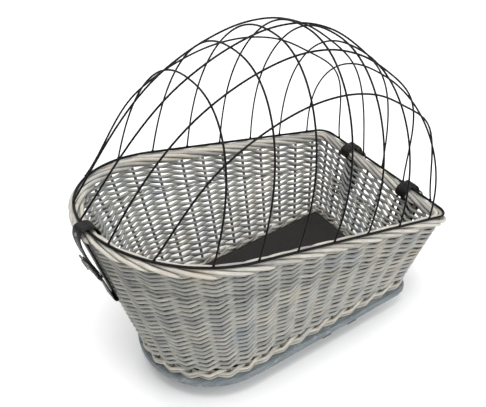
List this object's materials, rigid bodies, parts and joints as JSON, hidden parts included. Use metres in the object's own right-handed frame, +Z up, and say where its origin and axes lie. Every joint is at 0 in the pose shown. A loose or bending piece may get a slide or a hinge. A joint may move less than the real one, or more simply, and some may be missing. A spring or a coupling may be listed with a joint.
{
  "type": "bicycle pet basket with hinged wire grille",
  "caption": "Wicker pet basket for a bicycle rear rack: D-shaped woven body on a clamp-on wooden base, with a strapped, hinged wire dome grille.",
  "frame": {"origin": "middle of the rack seat, the underside of the under board, where the basket sits on the rack", "axes": "+X towards the straight end, where the grille hinges; the round end with the closing strap is at -X; +Y to the left seen from the round end; +Z up"},
  "size_m": [0.5663, 0.336, 0.5239],
  "materials": {
    "board": "matt grey-blue stain over planed wood",
    "mat": "charcoal needle felt",
    "willow_wall": "grey-washed willow rods, matt",
    "willow_peeled": "peeled cream willow rods, satin",
    "grille_wire": "black powder coat",
    "strap_leather": "black strap leather, stitched",
    "buckle_metal": "dark nickel plate",
    "clamp_steel": "black paint",
    "zinc_hardware": "bright zinc plate"
  },
  "bodies": {
    "basket": {"under_board": "board", "base_board": "board", "floor_mat": "mat", "wicker_wall": "willow_wall", "foot_band": "willow_peeled", "top_border": "willow_peeled", "closing_strap": "strap_leather", "closing_strap_end": "strap_leather", "closing_buckle": "buckle_metal", "left_hinge_strap": "strap_leather", "left_hinge_strap_end": "strap_leather", "left_hinge_buckle": "buckle_metal", "right_hinge_strap": "strap_leather", "right_hinge_strap_end": "strap_leather", "right_hinge_buckle": "buckle_metal", "carriage_bolt_1_right": "zinc_hardware", "carriage_bolt_1_left": "zinc_hardware", "carriage_bolt_2_right": "zinc_hardware", "carriage_bolt_2_left": "zinc_hardware"},
    "grille": {"rim_wire": "grille_wire", "hoop_1": "grille_wire", "hoop_2": "grille_wire", "hoop_3": "grille_wire", "hoop_4": "grille_wire", "hoop_5": "grille_wire", "hoop_6": "grille_wire", "hoop_7": "grille_wire", "long_wire_centre": "grille_wire", "long_wire_left_inner": "grille_wire", "long_wire_left_outer": "grille_wire", "long_wire_right_inner": "grille_wire", "long_wire_right_outer": "grille_wire"},
    "closing_prong": {"closing_prong": "buckle_metal"},
    "closing_keeper": {"closing_keeper": "strap_leather"},
    "left_hinge_prong": {"left_hinge_prong": "buckle_metal"},
    "left_hinge_keeper": {"left_hinge_keeper": "strap_leather"},
    "right_hinge_prong": {"right_hinge_prong": "buckle_metal"},
    "right_hinge_keeper": {"right_hinge_keeper": "strap_leather"},
    "clamp_bar_1": {"clamp_bar_1": "clamp_steel"},
    "wing_nut_1_right": {"wing_nut_1_right": "zinc_hardware"},
    "wing_nut_1_left": {"wing_nut_1_left": "zinc_hardware"},
    "clamp_bar_2": {"clamp_bar_2": "clamp_steel"},
    "wing_nut_2_right": {"wing_nut_2_right": "zinc_hardware"},
    "wing_nut_2_left": {"wing_nut_2_left": "zinc_hardware"}
  },
  "joints": [
    {"name": "grille_hinge", "type": "hinge", "parent": "basket", "child": "grille", "pos_m": [0.26409, 0, 0.16978], "axis": [0, 1, 0], "range_deg": [0, 95], "deforming": ["closing_strap"]},
    {"name": "closing_prong_pivot", "type": "hinge", "parent": "basket", "child": "closing_prong", "pos_m": [-0.27434, -0.01504, 0.26606], "axis": [-0.0993, 0.9947, 0.0275], "range_deg": [0, 100]},
    {"name": "closing_keeper_slide", "type": "slide", "parent": "basket", "child": "closing_keeper", "axis": [0.2296, 0.0498, -0.972], "range_m": [-0.003, 0.003]},
    {"name": "left_hinge_prong_pivot", "type": "hinge", "parent": "basket", "child": "left_hinge_prong", "pos_m": [0.28375, 0.08, 0.15477], "axis": [0, -1, 0], "range_deg": [0, 100]},
    {"name": "left_hinge_keeper_slide", "type": "slide", "parent": "basket", "child": "left_hinge_keeper", "axis": [-0.2027, 0, -0.9792], "range_m": [-0.003, 0.003]},
    {"name": "right_hinge_prong_pivot", "type": "hinge", "parent": "basket", "child": "right_hinge_prong", "pos_m": [0.28375, -0.068, 0.15477], "axis": [0, -1, 0], "range_deg": [0, 100]},
    {"name": "right_hinge_keeper_slide", "type": "slide", "parent": "basket", "child": "right_hinge_keeper", "axis": [-0.2027, 0, -0.9792], "range_m": [-0.003, 0.003]},
    {"name": "clamp_bar_1_slide", "type": "slide", "parent": "basket", "child": "clamp_bar_1", "axis": [0, 0, -1], "range_m": [0, 0.012]},
    {"name": "wing_nut_1_right_turn", "type": "hinge", "parent": "clamp_bar_1", "child": "wing_nut_1_right", "pos_m": [0.047, -0.078, -0.0046], "axis": [0, 0, 1], "continuous": true},
    {"name": "wing_nut_1_left_turn", "type": "hinge", "parent": "clamp_bar_1", "child": "wing_nut_1_left", "pos_m": [0.047, 0.078, -0.0046], "axis": [0, 0, 1], "continuous": true},
    {"name": "clamp_bar_2_slide", "type": "slide", "parent": "basket", "child": "clamp_bar_2", "axis": [0, 0, -1], "range_m": [0, 0.012]},
    {"name": "wing_nut_2_right_turn", "type": "hinge", "parent": "clamp_bar_2", "child": "wing_nut_2_right", "pos_m": [0.099, -0.078, -0.0046], "axis": [0, 0, 1], "continuous": true},
    {"name": "wing_nut_2_left_turn", "type": "hinge", "parent": "clamp_bar_2", "child": "wing_nut_2_left", "pos_m": [0.099, 0.078, -0.0046], "axis": [0, 0, 1], "continuous": true}
  ]
}
